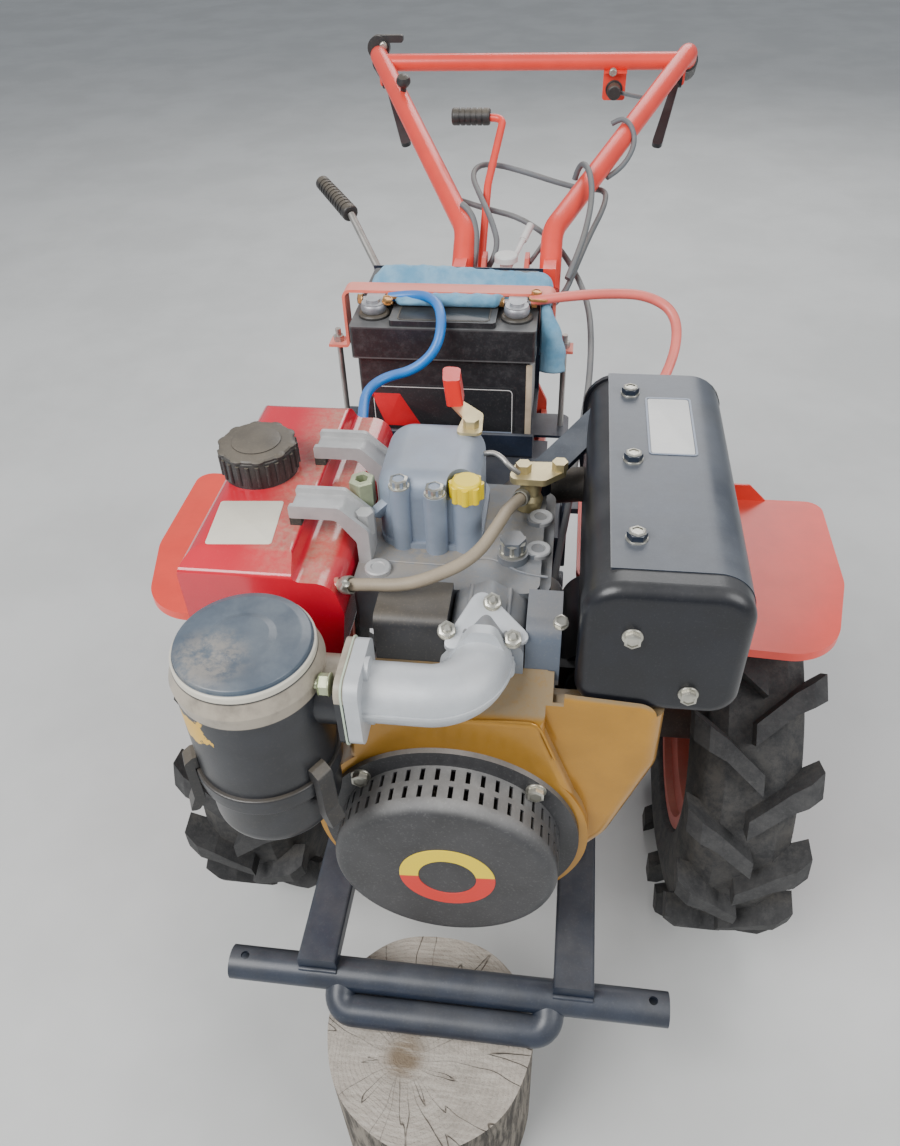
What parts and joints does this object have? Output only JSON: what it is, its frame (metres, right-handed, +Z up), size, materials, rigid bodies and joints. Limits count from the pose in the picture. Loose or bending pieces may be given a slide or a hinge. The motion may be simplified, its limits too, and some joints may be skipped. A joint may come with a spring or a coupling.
{
  "type": "walking tractor",
  "caption": "Two-wheel walking tractor with a fan-cooled diesel engine ahead of its axle, a battery behind it and a long handlebar, its nose resting on a sawn log.",
  "frame": {"origin": "on the ground, below the middle of the whole length and width", "axes": "+Z up, +Y to the rear along the handlebar, +X to the machine's left"},
  "size_m": [0.822, 1.66, 0.968],
  "materials": {
    "tyre_rubber": "matte",
    "coral_paint": "gloss",
    "frame_paint": "satin",
    "engine_alloy": "matte",
    "black_metal": "satin",
    "gold_paint": "satin",
    "charcoal_paint": "satin",
    "grey_paint": "satin",
    "crimson_paint": "gloss",
    "black_plastic": "satin",
    "yellow_plastic": "gloss",
    "red_plastic": "gloss",
    "zinc_steel": "satin",
    "bare_steel": "satin",
    "cast_lead": "matte",
    "pad_rubber": "matte",
    "blue_cloth": "matte",
    "tan_hose": "satin",
    "blue_cable": "satin",
    "red_cable": "satin",
    "grey_cable": "satin",
    "log_wood": "matte"
  },
  "bodies": {
    "chassis": {"front_frame": "frame_paint", "log_stand": "log_wood", "crankcase": "engine_alloy", "cylinder": "engine_alloy", "cylinder_head": "engine_alloy", "head_air_guides": "charcoal_paint", "rocker_cover": "grey_paint", "oil_filler_cap": "yellow_plastic", "decompression_lever": "zinc_steel", "decompression_grip": "red_plastic", "injector": "zinc_steel", "fan_shroud": "gold_paint", "fan_cover": "charcoal_paint", "flywheel_fan": "bare_steel", "intake_elbow": "engine_alloy", "air_cleaner_body": "black_metal", "air_cleaner_bowl": "black_metal", "air_cleaner_clips": "bare_steel", "fuel_tank": "crimson_paint", "fuel_cap": "black_plastic", "tank_brackets": "engine_alloy", "tank_pads": "pad_rubber", "muffler": "black_metal", "muffler_guard": "black_metal", "exhaust_pipe": "bare_steel", "starter_motor": "black_metal", "clutch_housing": "frame_paint", "gearbox": "frame_paint", "axle_housings": "frame_paint", "rear_hitch": "frame_paint", "fender_left": "coral_paint", "fender_right": "coral_paint", "fender_stays": "frame_paint", "battery": "black_plastic", "battery_clamps": "cast_lead", "battery_hold_down": "coral_paint", "hold_down_rods": "bare_steel", "battery_tray": "frame_paint", "folded_cloth": "blue_cloth", "handle_column": "coral_paint", "column_clamp": "bare_steel", "handlebar": "coral_paint", "clutch_levers": "black_metal", "throttle_lever": "black_plastic", "stop_switch": "black_plastic", "gear_lever": "coral_paint", "range_lever": "bare_steel", "lever_grips": "black_plastic", "fuel_hose": "tan_hose", "earth_cable": "blue_cable", "starter_cable": "red_cable", "control_cables": "grey_cable"},
    "wheel_left": {"tyre_left": "tyre_rubber", "rim_left": "coral_paint", "hub_left": "bare_steel"},
    "wheel_right": {"tyre_right": "tyre_rubber", "rim_right": "coral_paint", "hub_right": "bare_steel"}
  },
  "joints": [
    {"name": "wheel_left_spin", "type": "hinge", "parent": "chassis", "child": "wheel_left", "pos_m": [0.321, -0.2495, 0.29], "axis": [1, 0, 0], "continuous": true},
    {"name": "wheel_right_spin", "type": "hinge", "parent": "chassis", "child": "wheel_right", "pos_m": [-0.295, -0.2495, 0.29], "axis": [1, 0, 0], "continuous": true}
  ]
}
